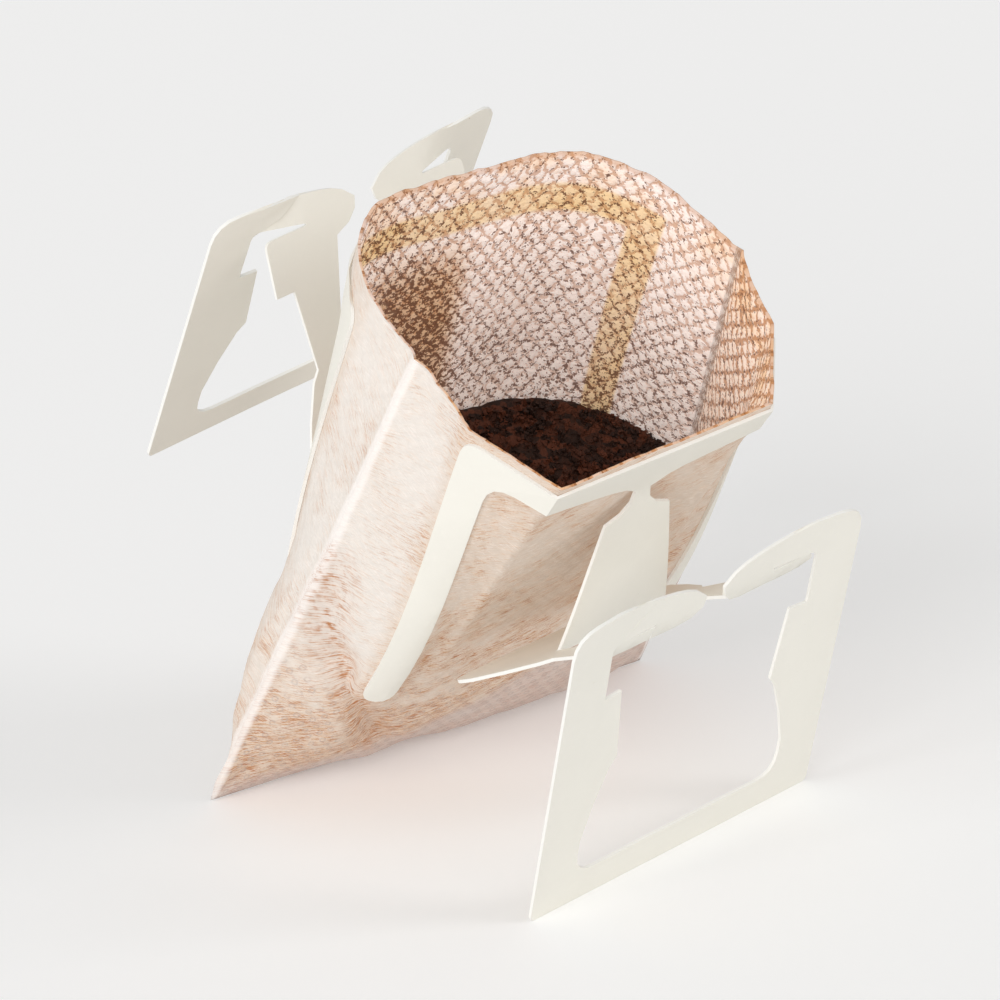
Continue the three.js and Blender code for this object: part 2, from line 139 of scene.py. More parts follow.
class Rim:
    """The mouth's outline: straight between the front's creases, one smooth curve round the back."""

    def __init__(self):
        creases = [np.array([side * CREASE_HALF, -MOUTH_HALF]) for side in (-1, 1)]
        corners = [
            stepped(creases[i], side, LEG_TURNS[i], CARD_HALF - CREASE_HALF)
            for i, side in enumerate((-1, 1))
        ]
        left, right = [
            stepped(corners[i], side, GUSSET_TURNS[i], POUCH_HALF - CARD_HALF)
            for i, side in enumerate((-1, 1))
        ]
        self.stops = np.array([-POUCH_HALF, -CARD_HALF, -CREASE_HALF, CREASE_HALF, CARD_HALF, POUCH_HALF])
        self.front = np.array([left, corners[0], creases[0], creases[1], corners[1], right])
        self.back = np.array([
            left,
            [left[0] + BACK_FLANKS[0], MOUTH_HALF * 0.55],
            [left[0] + BACK_ROUNDS[0], MOUTH_HALF * 0.98],
            [SEAM_ASIDE, MOUTH_HALF],
            [right[0] - BACK_ROUNDS[1], MOUTH_HALF * 0.9],
            [right[0] - BACK_FLANKS[1], MOUTH_HALF * 0.5],
            right,
        ])
        self.samples = np.linspace(0.0, 1.0, 201)
        lengths = np.linalg.norm(np.diff(self.spline(self.samples), axis=0), axis=1)
        self.lengths = np.concatenate([[0.0], np.cumsum(lengths)])

    def spline(self, share):
        """Points of the curve that passes through the back's points."""
        last = len(self.back) - 1
        place = last * share
        index = np.minimum(place.astype(int), last - 1)
        w = (place - index)[..., None]
        before, start = self.back[np.maximum(index - 1, 0)], self.back[index]
        end, after = self.back[index + 1], self.back[np.minimum(index + 2, last)]
        leave, arrive = (end - before) / 2, (after - start) / 2
        cubic = (2 * start - 2 * end + leave + arrive) * w ** 3
        square = (-3 * start + 3 * end - 2 * leave - arrive) * w ** 2
        return cubic + square + leave * w + start

    def points(self, side, s):
        """Points of the rim at distances s along it from its middle, at height 0."""
        if side == FRONT:
            flat = np.stack([np.interp(s, self.stops, self.front[:, i]) for i in (0, 1)], -1)
        else:
            length = np.clip(s / POUCH_WIDTH + 0.5, 0.0, 1.0) * self.lengths[-1]
            flat = self.spline(np.interp(length, self.lengths, self.samples))
        return np.concatenate([flat, np.zeros(flat.shape[:-1] + (1,))], -1)


RIM = Rim()
SEAM_DEPTH = math.sqrt(POUCH_HEIGHT ** 2 - (MOUTH_HALF - SEAM_FORWARD) ** 2)


def seam_points(s):
    """Points of the bottom fold, level once the bag leans and turned a little."""
    along = s / POUCH_WIDTH * SEAM_LENGTH
    turn, lean = math.radians(SEAM_TURN), math.radians(LEAN)
    return np.stack([
        SEAM_ASIDE + along * math.cos(turn),
        -SEAM_FORWARD - along * math.sin(turn) * math.cos(lean),
        -SEAM_DEPTH + along * math.sin(turn) * math.sin(lean),
    ], -1)


def wall_points(side, s, t):
    """Points of one wall, where s runs along the rim and t from the rim to the fold."""
    share = t[..., None]
    points = RIM.points(side, s) * (1 - share) + seam_points(s) * share
    leg_centre = CARD_HALF - LEG_WIDTH / 2
    past = np.clip((np.abs(s) - leg_centre) / (POUCH_HALF - leg_centre), 0.0, 1.0)
    middle, at_leg = BULGES[side]
    bulge = middle + (at_leg - middle) * smooth(np.abs(s), CREASE_HALF, leg_centre)
    swell = np.sin(math.pi * np.clip(t, 0.0, 1.0) ** 1.2)
    points[..., 1] += side * bulge * np.cos(past * math.pi / 2) * swell
    return points


def rim_stops(spacing, half=POUCH_HALF):
    """Places along the rim, with one at each crease and leg corner."""
    stops = [np.array([-POUCH_HALF])]
    for start, end in zip(RIM.stops[:-1], RIM.stops[1:]):
        pieces = math.ceil((end - start) / spacing)
        stops.append(np.linspace(start, end, pieces + 1)[1:])
    return np.concatenate(stops) * (half / POUCH_HALF)


def glue_margin(side, s, drop):
    """Distance of a place from the glued card, 0 where the card covers it."""
    top, foot, end = GLUED[side]
    across = max(abs(s) - CARD_HALF, 0.0)
    band = math.hypot(across, max(top - drop, drop - foot, 0.0))
    beside = max(CARD_HALF - LEG_WIDTH - abs(s), abs(s) - CARD_HALF, 0.0)
    leg = math.hypot(beside, max(top - drop, drop - end, 0.0))
    return min(band, leg)


# The buckle that runs from the left seam round the end of the front's left leg, as flat places
BUCKLE = [(-36.0, 18.0, 0.2), (-35.2, 33.0, 0.7), (-33.6, 42.0, 1.5), (-31.0, 46.8, 2.2),
          (-24.6, 53.6, 1.4), (-14.5, 66.0, 0.8), (-8.0, 73.0, 0.2)]

# The line where the filled front wall turns under, with how far it stands out there
TURN_UNDER = [(-30.0, 77.0, 0.0), (-22.0, 75.5, 0.5), (-10.5, 66.5, 1.7), (9.5, 60.5, 2.4),
              (24.0, 57.0, 2.2), (37.0, 55.0, 0.4)]


def buckle_depth(s, drop):
    """Depth of the buckle at a flat place of the front wall."""
    deepest = 0.0
    for (x0, y0, d0), (x1, y1, d1) in zip(BUCKLE[:-1], BUCKLE[1:]):
        run = (x1 - x0) ** 2 + (y1 - y0) ** 2
        w = min(max(((s - x0) * (x1 - x0) + (drop - y0) * (y1 - y0)) / run, 0.0), 1.0)
        away = math.hypot(s - x0 - w * (x1 - x0), drop - y0 - w * (y1 - y0))
        width = 1.7 + 0.5 * (d0 + (d1 - d0) * w)
        deepest = max(deepest, (d0 + (d1 - d0) * w) * math.exp(-(away / width) ** 2))
    return deepest


def turn_under(s, drop):
    """How far the lower front wall stands out: most along one line, almost nothing at the fold."""
    places, lines, reach = zip(*TURN_UNDER)
    line, most = float(np.interp(s, places, lines)), float(np.interp(s, places, reach))
    if drop < line:
        share = min(max(1 - (line - drop) / 26.0, 0.0), 1.0)
        return most * share * share * (3 - 2 * share)
    return most * math.sqrt(max(1 - ((drop - line) / (POUCH_HEIGHT - line + 0.01)) ** 2, 0.0))


def crinkle(side, s, drop, height):
    """How far the slack cloth stands out of its smooth shape at a flat place."""
    free = min(max((glue_margin(side, s, drop) - 0.3) / 2.2, 0.0), 1.0)
    free *= free * (3 - 2 * free)
    low = min(max((drop - 30.0) / 40.0, 0.0), 1.0)
    spot = Vector((s / 9.0, drop / 12.0, side * 7.0))
    fold = Vector(((s + 0.8 * drop) / 3.1, (drop - 0.5 * s) / 8.0, side * 5.0 + 2.0))
    wave = noise.noise(spot) * 1.5 * height + noise.noise(fold) * (0.35 + 0.5 * low) * height
    wave += noise.noise(Vector((s / 1.3, drop / 1.6, side * 3.0))) * 0.14 * height
    buckle = buckle_depth(s, drop) if side == FRONT else 0.0
    seam = SEAM_RIDGE * math.exp(-((POUCH_HALF - abs(s)) / SEAM_RIDGE_WIDTH) ** 2)
    if side == FRONT:
        swell = turn_under(s, drop)
    else:
        across = (s - BACK_SWELL_PLACE[0]) / BACK_SWELL_REACH[0]
        down = (drop - BACK_SWELL_PLACE[1]) / BACK_SWELL_REACH[1]
        swell = BACK_SWELL * math.exp(-(across ** 2 + down ** 2)) * min((POUCH_HALF - abs(s)) / 2.5, 1.0)
    stuck = GLUE_GAP * (1 - min(max(glue_margin(side, s, drop) - 0.6, 0.0) / 2.0, 1.0))
    return free * (wave - buckle * min(free * 1.6, 1.0) + swell) + seam + stuck


def grid_normals(points, closed):
    """Unit normals of a grid of points, whose columns may close into a ring."""
    if closed:
        across = np.roll(points, -1, 1) - np.roll(points, 1, 1)
    else:
        across = np.gradient(points, axis=1)
    normals = np.cross(np.gradient(points, axis=0), across)
    return normals / np.maximum(np.linalg.norm(normals, axis=-1, keepdims=True), 1e-9)


def cloth_grid(spacing, height):
    """Points, normals and flat places of the pouch's middle surface, as a ring of columns."""
    stops = rim_stops(spacing)
    rows = round(POUCH_HEIGHT / spacing)
    sides = np.concatenate([np.full(len(stops), FRONT), np.full(len(stops) - 2, BACK)])
    along = np.concatenate([stops, stops[::-1][1:-1]])
    tear = np.array([
        0.3 * noise.noise(Vector((s * 0.5, side * 9.0, 1.0)))
        + 0.14 * noise.noise(Vector((s * 2.3, side * 4.0, 5.0)))
        for s, side in zip(along, sides)
    ])
    share = np.repeat(np.linspace(0.0, 1.0, rows + 1)[:, None], len(along), 1)
    drop = share * POUCH_HEIGHT
    torn = share + tear * np.clip(1 - drop / 2.5, 0.0, 1.0) / POUCH_HEIGHT
    s = np.repeat(along[None, :], rows + 1, 0)
    front = sides == FRONT
    points = np.empty(share.shape + (3,))
    points[:, front] = wall_points(FRONT, s[:, front], torn[:, front])
    points[:, ~front] = wall_points(BACK, s[:, ~front], torn[:, ~front])
    normals = grid_normals(points, True)
    lift = np.array([
        [crinkle(int(sides[c]), along[c], drop[r, c], height) for c in range(len(along))]
        for r in range(rows + 1)
    ])
    fade = smooth(POUCH_HEIGHT - drop, 0.0, 4.0)
    points = points + normals * (lift * fade)[..., None]
    flat = np.stack([s, drop, np.where(front, 0.0, 1.0)[None, :].repeat(rows + 1, 0)], -1)
    return points, grid_normals(points, True), flat


def standing(points):
    """Places of the upright bag's points, in millimetres, once it leans: metres, shift not added."""
    lean = math.radians(LEAN)
    y, z = points[..., 1], points[..., 2]
    return np.stack([
        points[..., 0],
        y * math.cos(lean) - z * math.sin(lean),
        y * math.sin(lean) + z * math.cos(lean),
    ], -1) * MM


def bag_shift():
    """The move that puts the leaning bag where the frame's pouch is."""
    stops = rim_stops(3.4)
    share = np.repeat(np.linspace(0.0, 1.0, 21)[:, None], len(stops), 1)
    s = np.repeat(stops[None, :], 21, 0)
    points = np.concatenate([standing(wall_points(side, s, share)).reshape(-1, 3) for side in (FRONT, BACK)])
    low, high = (np.array(corner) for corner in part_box("filter_pouch"))
    return (low + high) / 2 - (points.min(0) + points.max(0)) / 2


# Meshes and materials

def new_piece(name, points, faces, smooth_faces=True):
    """A mesh object of points in metres."""
    mesh = bpy.data.meshes.new(name)
    mesh.from_pydata([tuple(point) for point in points], [], faces)
    mesh.update()
    mesh.shade_smooth() if smooth_faces else mesh.shade_flat()
    piece = bpy.data.objects.new(name, mesh)
    bpy.context.scene.collection.objects.link(piece)
    return piece


def ring_faces(rows, columns, offset=0, flip=False):
    """Quads of a grid whose columns close into a ring."""
    faces = []
    for r in range(rows - 1):
        for c in range(columns):
            a, b = r * columns + c, r * columns + (c + 1) % columns
            quad = (a + offset, b + offset, b + columns + offset, a + columns + offset)
            faces.append(quad[::-1] if flip else quad)
    return faces


def merge_points(piece, distance=1e-7):
    """Joins points that lie on each other."""
    form = bmesh.new()
    form.from_mesh(piece.data)
    bmesh.ops.remove_doubles(form, verts=form.verts, dist=distance)
    form.to_mesh(piece.data)
    form.free()


def dress(piece, slot, *finishes):
    """Gives a piece its materials and lets it ride on the bag; the slot is not used."""
    for finish in finishes:
        piece.data.materials.append(finish)
    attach(piece, "root")


class Signal:
    """One socket of a material, used like a number in an expression."""

    def __init__(self, finish, socket):
        self.finish = finish
        self.socket = socket

    def __add__(self, other):
        return self.finish.math("ADD", self, other)

    def __sub__(self, other):
        return self.finish.math("SUBTRACT", self, other)

    def __rsub__(self, other):
        return self.finish.math("SUBTRACT", other, self)

    def __mul__(self, other):
        return self.finish.math("MULTIPLY", self, other)

    def __truediv__(self, other):
        return self.finish.math("DIVIDE", self, other)

    __radd__ = __add__
    __rmul__ = __mul__


class Finish:
    """A material and the nodes that vary it over a surface."""

    def __init__(self, name, **shader):
        self.material = bpy.data.materials.new(name)
        self.material.use_nodes = True
        self.tree = self.material.node_tree
        self.tree.nodes.clear()
        self.shader = self.tree.nodes.new("ShaderNodeBsdfPrincipled")
        output = self.tree.nodes.new("ShaderNodeOutputMaterial")
        self.tree.links.new(self.shader.outputs[0], output.inputs["Surface"])
        for name, value in shader.items():
            self.feed(self.shader.inputs[name.replace("_", " ").title().replace("Ior", "IOR")], value)

    def feed(self, socket, value):
        """Sets a socket to a value or links it."""
        if isinstance(value, Signal):
            self.tree.links.new(value.socket, socket)
        elif hasattr(value, "__len__") and len(value) == 3 and socket.type == "RGBA":
            socket.default_value = (*value, 1.0)
        else:
            socket.default_value = value

    def node(self, kind, inputs=(), output=0, **settings):
        """Adds a node of a type with its settings, then the values or links of its sockets."""
        made = self.tree.nodes.new(kind)
        for name, value in settings.items():
            setattr(made, name, value)
        for place, value in dict(inputs).items():
            self.feed(made.inputs[place], value)
        return Signal(self, made.outputs[output])

    def math(self, operation, a, b=0.0):
        """A Math node of one or two values."""
        return self.node("ShaderNodeMath", {0: a, 1: b}, operation=operation)

    def flat(self):
        """The three values of the cloth's flat place: along the rim, drop and wall."""
        place = self.node("ShaderNodeAttribute", output="Vector", attribute_name="flat")
        return [self.node("ShaderNodeSeparateXYZ", {0: place}, output=i) for i in range(3)]

    def vector(self, x, y, z=0.0):
        """A vector of three values."""
        return self.node("ShaderNodeCombineXYZ", {0: x, 1: y, 2: z})

    def noise(self, place, scale, detail=2.0, roughness=0.5):
        """Cloudy noise from 0 to 1 at a place."""
        sockets = {"Vector": place, "Scale": scale, "Detail": detail, "Roughness": roughness}
        return self.node("ShaderNodeTexNoise", sockets)

    def step(self, value, low, high):
        """A soft step from 0 at low to 1 at high."""
        sockets = {0: value, 1: low, 2: high}
        return self.node("ShaderNodeMapRange", sockets, interpolation_type="SMOOTHSTEP")

    def blend(self, factor, a, b):
        """A colour between two colours."""
        return self.node("ShaderNodeMix", {0: factor, 6: a, 7: b}, output=2, data_type="RGBA")

    def strands(self, s, drop, wall, turn, length, width):
        """Noise drawn out into long thin strands that run at a turn in degrees."""
        c, n = math.cos(math.radians(turn)), math.sin(math.radians(turn))
        sway = self.noise(self.vector(s, drop, wall), 0.07, 1.0) * 4.0
        along = (s * c + drop * n) / length
        across = (drop * c - s * n + sway) / width
        return self.noise(self.vector(along, across, wall * 9.0 + turn), 1.0, 2.0, 0.55)

    def lattice(self, s, drop, across, down):
        """Staggered dots: 1 at a dot's middle, -1 between the dots."""
        turns = 2 * math.pi
        return self.math("COSINE", s * (turns / across)) * self.math("COSINE", drop * (turns / down))

    def net(self, s, drop, across, down):
        """Staggered diamonds: 0 on the crossing lines between them, 1 at a diamond's middle."""
        rising = (s / across + drop / down) * math.pi
        falling = (s / across - drop / down) * math.pi
        sides = [self.math("ABSOLUTE", self.math("SINE", turn)) for turn in (rising, falling)]
        return self.math("MINIMUM", sides[0], sides[1])

    def surface(self, colour=None, roughness=None, height=None, distance=0.0001, strength=1.0):
        """Links what varies over the surface to the shader."""
        if colour is not None:
            self.feed(self.shader.inputs["Base Color"], colour)
            # The emission takes the colour too, so a finish with an emission strength glows with painted
            # light.
            self.feed(self.shader.inputs["Emission Color"], colour)
        if roughness is not None:
            self.feed(self.shader.inputs["Roughness"], roughness)
        if height is not None:
            sockets = {"Strength": strength, "Distance": distance, "Height": height}
            self.feed(self.shader.inputs["Normal"], self.node("ShaderNodeBump", sockets))
        return self.material


# Settings

def colour(name, description, default):
    """A colour that a user can change."""
    return FloatVectorProperty(
        name=name, description=description, default=default, subtype="COLOR", size=3, min=0.0, max=1.0
    )


class PouchSettings(bpy.types.PropertyGroup):
    """Sizes and colours of the filter fabric."""

    thickness: FloatProperty(name="Fabric thickness", description="Thickness of the fabric",
                             default=0.0003, unit="LENGTH")
    spacing: FloatProperty(name="Mesh spacing", description="Distance between the fabric's mesh lines",
                           default=0.00066, unit="LENGTH")
    slack: FloatProperty(name="Crinkle height", description="Height of the slack fabric's crinkles",
                         default=0.0003, unit="LENGTH")
    opacity: FloatProperty(name="Opacity", description="How much one face of the fabric hides",
                           default=0.9, min=0.0, max=1.0, subtype="FACTOR")
    pale: colour("Fabric", "The clean fabric", (0.69, 0.595, 0.51))
    # Painted light and shade: a paler, greyer tone of the same fabric for the gussets and the back, which
    # face the light differently.
    side_light_tone: colour("Shaded fabric", "The smoother fabric of the gussets and the back", (0.76, 0.715, 0.665))
    tan: colour("Fibres", "Coffee-stained fibres", (0.60, 0.36, 0.19))
    rust: colour("Stains", "The darkest stained fibres", (0.44, 0.17, 0.07))
    haze: colour("Tint", "Fabric with coffee soaked through", (0.72, 0.56, 0.43))
    inner: colour("Inner dots", "The embossed diamonds inside", (0.92, 0.84, 0.80))
    stain: colour("Inner stains", "The lines between the diamonds", (0.46, 0.19, 0.065))
    dust: colour("Coffee dust", "Coffee dust that clings inside", (0.11, 0.032, 0.011))
    # Painted shade: the fabric where the card behind it blocks the light that comes through.
    behind: colour("Over card", "Fabric with the card behind it", (0.84, 0.62, 0.34))
    amber: colour("Amber tint", "Fabric that light shines through", (0.90, 0.60, 0.34))
    glow: FloatProperty(name="Glow", description="Light that comes through the fabric to its outside",
                        default=0.19)
    inner_glow: FloatProperty(name="Inner glow", description="Light that comes through the fabric inside",
                              default=0.30)


class CardSettings(bpy.types.PropertyGroup):
    """Colours of the card hangers."""

    face: colour("Card", "The card's faces", (0.92, 0.895, 0.82))
    edge: colour("Cut edge", "The card's cut edges", (0.95, 0.94, 0.90))
    grain: FloatProperty(name="Paper grain", description="Height of the paper's fibres",
                         default=0.00003, unit="LENGTH")


class CoffeeSettings(bpy.types.PropertyGroup):
    """Sizes and colours of the ground coffee."""

    grains: IntProperty(name="Grains", description="Number of loose grains on the heap", default=9000)
    small: FloatProperty(name="Smallest grain", description="Size of the smallest grain",
                         default=0.00028, unit="LENGTH")
    large: FloatProperty(name="Largest grain", description="Size of the largest grain",
                         default=0.0008, unit="LENGTH")
    dark: colour("Dark grains", "The darkest grains", (0.020, 0.0070, 0.0040))
    warm: colour("Warm grains", "The reddest grains", (0.125, 0.036, 0.015))


class StageSettings(bpy.types.PropertyGroup):
    """Floor, light and camera."""

    floor: colour("Floor", "The plain pale floor", (0.92, 0.92, 0.92))
    sky: FloatProperty(name="Sky", description="Strength of the even light", default=0.52)
    key: FloatProperty(name="Key light", description="Strength of the light from the right", default=0.6)
    fill: FloatProperty(name="Fill light", description="Strength of the light from the left", default=1.75)
    low: FloatProperty(name="Low light", description="Strength of the low light from the front", default=0.12)
    lift: FloatProperty(name="Floor lift",
                        description="How much paler the floor looks than its light makes it",
                        default=0.125)
    lens: FloatProperty(name="Lens", description="Focal length in millimetres", default=158.4)


# Finishes

def cloth_outside(look):
    """Nonwoven fabric seen from outside: fine stained fibres over a pale ground, with painted shade under the
    bottom and along the buckle, and a painted tone for the gussets and back.
    """
    finish = Finish("filter fabric outside", roughness=0.92, alpha=look.opacity, specular_ior_level=0.15,
                    emission_strength=look.glow)
    s, drop, wall = finish.flat()
    place = finish.vector(s, drop, wall * 40.0)
    layers = [finish.strands(s, drop, wall, turn, length, width)
              for turn, length, width in ((-8.0, 3.2, 0.26), (-26.0, 2.4, 0.20), (12.0, 2.0, 0.16))]
    cloud = finish.noise(place, 0.085, 3.0, 0.6)
    patch = finish.noise(place, 0.30, 3.0, 0.6)
    edge = finish.math("ABSOLUTE", s)
    low = finish.step(drop, 26.0, 62.0)
    front = 1 - wall
    worn = finish.step(cloud * 0.65 + patch * 0.45 + low * 0.12, 0.44, 0.72)
    mist = worn * (0.30 + low * 0.2)
    tan = finish.step(layers[0] + layers[1] * 0.7 + worn * 0.06, 0.84, 1.06) * (0.25 + worn * 0.75)
    rust = finish.step(layers[1] + layers[2] + worn * 0.10 + low * 0.04, 1.12, 1.30) * worn
    # The gussets and the back take that painted tone and carry fewer stains.
    quiet = finish.step(edge, 25.0, 29.0) * finish.step(drop, 66.0, 40.0)
    calm = finish.math("MAXIMUM", quiet, wall * 0.55)
    ground = finish.blend(calm, look.pale, look.side_light_tone)
    ground = finish.blend(mist * (1 - calm * 0.7), ground, look.haze)
    bright = finish.step(layers[2] + layers[0] * 0.6, 0.80, 1.0) * 0.5
    ground = finish.blend(bright, ground, (0.88, 0.83, 0.79))
    stained = finish.blend(tan * (0.75 - calm * 0.45), ground, look.tan)
    stained = finish.blend(rust * (0.95 - calm * 0.6), stained, look.rust)
    # Painted shade: mauve-grey on the front wall below the line where it turns under and faces down.
    under = finish.step(turn_nodes(finish, s, drop) + patch * 3.0, -1.0, 4.6) * front
    stained = finish.blend(under * 0.55, stained, (0.62, 0.55, 0.54))
    dots = finish.lattice(s, drop, 2.2, 2.7)
    rings = finish.step(dots, 0.25, 0.5) * finish.step(dots, 0.92, 0.7)
    # The dot rings darken in patches low on the wall and in the painted shade of the underside.
    dot_patch_and_shade = finish.math("MAXIMUM", finish.step(patch + low * 0.3, 0.62, 0.82) * low, under)
    stained = finish.blend(rings * dot_patch_and_shade * front * 0.4, stained, (0.42, 0.35, 0.33))
    seam = finish.step(edge, 36.1, 36.7)
    stained = finish.blend(seam * 0.7, stained, (0.93, 0.89, 0.86))
    # Painted shade along the buckle's crease, down past the left leg's end, drawn in the stain colour and
    # mottled in spots.
    buckle = 1 - finish.step(buckle_shade_distance(finish, s + 0.8, drop), 0.0, 4.6)
    shade_spots = finish.step(finish.noise(place, 0.9, 2.0, 0.6) * 0.7 + layers[1] * 0.7, 0.66, 0.92)
    stained = finish.blend(buckle * front * (0.10 + shade_spots * 0.9), stained, (0.46, 0.185, 0.065))
    height = layers[0] * 0.6 + layers[1] * 0.6 + layers[2] * 0.4 + dots * 0.18
    return finish.surface(colour=stained, height=height, distance=0.00018, strength=0.55)


def turn_nodes(finish, s, drop):
    """How far a place lies below the line where the front wall turns under."""
    (x0, y0, _), (x1, y1, _), (x2, y2, _) = TURN_UNDER[1:4]
    left = drop - y0 - (s - x0) * ((y1 - y0) / (x1 - x0))
    right = drop - y1 - (s - x1) * ((y2 - y1) / (x2 - x1))
    return finish.math("MAXIMUM", left, right)


def buckle_shade_distance(finish, s, drop):
    """Distance from the buckle's deepest stretch, which runs down to the leg's end and on, for the painted
    shade along it.
    """
    nearest = None
    for (x0, y0, _), (x1, y1, _) in zip(BUCKLE[1:-2], BUCKLE[2:-1]):
        length = math.hypot(x1 - x0, y1 - y0)
        ux, uy = (x1 - x0) / length, (y1 - y0) / length
        along = (s - x0) * ux + (drop - y0) * uy
        off = finish.math("ABSOLUTE", (drop - y0) * ux - (s - x0) * uy)
        past = finish.math("ABSOLUTE", along - length / 2) - length / 2
        past = finish.math("MAXIMUM", past, 0.0)
        away = finish.math("SQRT", off * off + past * past)
        nearest = away if nearest is None else finish.math("MINIMUM", nearest, away)
    return nearest


def cloth_inside(look):
    """Nonwoven fabric seen from inside: pale embossed diamonds with coffee dust between them, and painted
    shade where the back card blocks the light.
    """
    finish = Finish("filter fabric inside", roughness=0.95, alpha=look.opacity, specular_ior_level=0.1,
                    emission_strength=look.inner_glow)
    s, drop, wall = finish.flat()
    place = finish.vector(s, drop, wall * 40.0)
    wander = (finish.noise(place, 0.8, 1.0) - 0.5) * 1.6
    stagger = (finish.noise(finish.vector(drop, s, wall * 7.0), 0.8, 1.0) - 0.5) * 1.8
    net = finish.net(s + wander, drop + stagger, 2.2, 2.7)
    speck = finish.noise(finish.vector(s * 0.75, drop, wall * 40.0), 2.1, 1.0, 0.5) - 0.5
    fine = finish.noise(place, 4.4, 1.0, 0.5) - 0.5
    patch = finish.noise(place, 0.16, 3.0, 0.6) - 0.5
    deep = finish.step(drop, 4.0, 34.0)
    gusset = 1 - wall
    edge = finish.math("ABSOLUTE", s)
    # Painted shade where the back card's band and legs, glued behind the back wall, block the light that
    # comes through it.
    top, foot, end = GLUED[BACK]
    band = finish.step(drop, top - 0.4, top + 0.4) * finish.step(drop, foot + 0.4, foot - 0.4)
    band = band * finish.step(edge, CARD_HALF + 0.3, CARD_HALF - 0.3)
    inner_edge = CARD_HALF - LEG_WIDTH
    leg = finish.step(edge, inner_edge - 0.3, inner_edge + 0.3)
    leg = leg * finish.step(edge, CARD_HALF + 0.3, CARD_HALF - 0.3)
    leg = leg * finish.step(drop, top - 0.3, top + 0.3) * finish.step(drop, end + 0.5, end - 0.5)
    # Painted shadow of the back card's tongue, which stands off the back wall; its edge wanders with the
    # specks.
    aside = finish.math("ABSOLUTE", s + 5.5 - speck * 4.0)
    tongue_shadow = finish.step(aside, 8.4, 4.4) * finish.step(drop, 7.0, 17.0) * finish.step(drop, 40.0, 33.0)
    # The band, the legs and the tongue's shadow make one mask of painted shade.
    card_and_tongue_shade = finish.math("MAXIMUM", finish.math("MAXIMUM", band, leg), tongue_shadow * 0.8) * wall
    ground = finish.blend(card_and_tongue_shade * (0.85 + patch), look.inner, look.behind)
    # Painted light: amber where light shines through the fabric, in patches near the rim and over the
    # gussets.
    sunlit = finish.step(patch, -0.10, 0.10) * finish.step(drop, 12.0, 2.0)
    ground = finish.blend((sunlit * 0.5 + gusset * 0.30) * (1 - card_and_tongue_shade), ground, look.amber)
    # The tongue's painted shadow is darkened further in the stain colour.
    ground = finish.blend(tongue_shadow * wall * 0.45, ground, look.stain)
    stain = finish.step(net + speck * 2.4 + deep * 0.08 - gusset * 0.12, 0.52, 0.08)
    stained = finish.blend(stain * (0.62 + gusset * 0.2 - deep * 0.2), ground, look.stain)
    # More dust to the left of the back wall's middle, and more where the card and the tongue lay painted
    # shade, which the dust darkens further.
    left = finish.step(s, 6.0, -12.0) * 0.16 * wall
    dust_and_shade_load = deep * 0.22 + left + tongue_shadow * 0.17 + card_and_tongue_shade * 0.10 + gusset * 0.06 + patch * 0.5 - 0.21
    dust = finish.step(dust_and_shade_load + (speck + fine * 0.7) * 2.2 - net * 0.42, -0.08, 0.06)
    stained = finish.blend(dust * 0.9, stained, look.dust)
    brim = finish.step(drop, 0.9, 0.2)
    stained = finish.blend(brim * 0.5, stained, look.stain)
    return finish.surface(colour=stained, height=net * 0.8 + speck, distance=0.0003, strength=0.7)


def card_finish(look, name, ground, along_edge):
    """Uncoated paperboard: faint fibres, soft mottling and a few tiny specks."""
    finish = Finish(name, roughness=0.72, specular_ior_level=0.3)
    place = finish.node("ShaderNodeTexCoord", output="Object")
    cloud = finish.noise(place, 90.0, 4.0, 0.55)
    fibre = finish.noise(place, 2600.0 if along_edge else 1300.0, 4.0, 0.7)
    speck = finish.step(finish.noise(place, 1400.0, 1.0, 0.4), 0.84, 0.88)
    tone = finish.blend(finish.step(cloud, 0.35, 0.68) * 0.35, ground, tuple(c * 0.93 for c in ground))
    tone = finish.blend(finish.step(fibre, 0.5, 0.75) * 0.22, tone, tuple(min(c * 1.05, 1.0) for c in ground))
    tone = finish.blend(speck * 0.7, tone, (0.45, 0.30, 0.18))
    rough = 0.66 + finish.step(cloud, 0.3, 0.7) * 0.14
    height = fibre * 0.7 + cloud * 0.5
    return finish.surface(colour=tone, roughness=rough, height=height, distance=look.grain, strength=0.6)


def coffee_finish(look):
    """Roasted grounds: near black with reddish-brown chips."""
    finish = Finish("ground coffee", roughness=0.62, specular_ior_level=0.35)
    place = finish.node("ShaderNodeTexCoord", output="Object")
    cells = {"Vector": place, "Scale": 1100.0}
    chips = finish.node("ShaderNodeTexVoronoi", cells, output="Color", feature="F1")
    chip = finish.node("ShaderNodeSeparateColor", {0: chips})
    fine = finish.noise(place, 2400.0, 4.0, 0.7)
    tone = finish.blend(finish.step(chip, 0.25, 1.0) * 0.8, look.dark, look.warm)
    tone = finish.blend(finish.step(fine, 0.55, 0.75) * 0.35, tone, (0.16, 0.055, 0.022))
    rough = 0.5 + fine * 0.35
    return finish.surface(colour=tone, roughness=rough, height=fine, distance=0.00012, strength=0.7)


# Pieces

